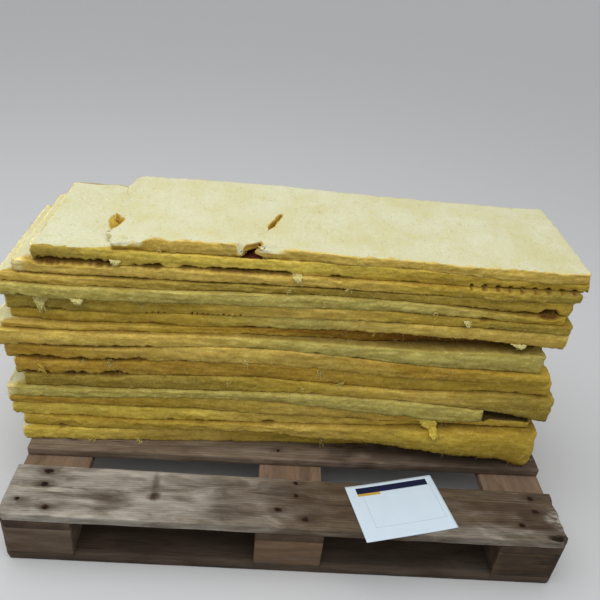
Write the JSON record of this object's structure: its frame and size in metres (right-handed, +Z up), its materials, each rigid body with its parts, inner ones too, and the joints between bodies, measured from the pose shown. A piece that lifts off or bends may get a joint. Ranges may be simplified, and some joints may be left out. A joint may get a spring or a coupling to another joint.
{
  "type": "stack of glass wool insulation slabs on a wooden pallet",
  "caption": "Loose stack of flat glass wool insulation slabs lying on a worn four-way wooden pallet, with a card on the front board.",
  "frame": {"origin": "on the floor under the middle of the pallet, at the centre of the middle skid's underside", "axes": "+X along the pallet's long side, +Y to the back, away from the side with the card, +Z up"},
  "size_m": [1.2578, 0.8272, 0.6584],
  "materials": {
    "glass_wool": "matt fibrous wool",
    "board_wood": "weathered rough sawn",
    "block_wood": "rough sawn",
    "skid_wood": "dirty rough sawn",
    "card": "smooth"
  },
  "bodies": {
    "root": {"skid_front": "skid_wood", "skid_centre": "skid_wood", "skid_back": "skid_wood", "block_front_left": "block_wood", "block_front_middle": "block_wood", "block_front_right": "block_wood", "block_centre_left": "block_wood", "block_centre_middle": "block_wood", "block_centre_right": "block_wood", "block_back_left": "block_wood", "block_back_middle": "block_wood", "block_back_right": "block_wood", "cross_board_left": "board_wood", "cross_board_middle": "board_wood", "cross_board_right": "board_wood", "deck_board_front": "board_wood", "deck_board_second": "board_wood", "deck_board_centre": "board_wood", "deck_board_fourth": "board_wood", "deck_board_back": "board_wood", "slab_01": "glass_wool", "slab_02": "glass_wool", "slab_03": "glass_wool", "slab_04": "glass_wool", "slab_05": "glass_wool", "slab_06": "glass_wool", "slab_07": "glass_wool", "slab_08": "glass_wool", "slab_09": "glass_wool", "slab_10": "glass_wool", "slab_11": "glass_wool", "slab_12": "glass_wool", "slab_13": "glass_wool", "slab_14": "glass_wool", "slab_15": "glass_wool", "slab_16": "glass_wool", "slab_17": "glass_wool", "card": "card"}
  },
  "joints": []
}
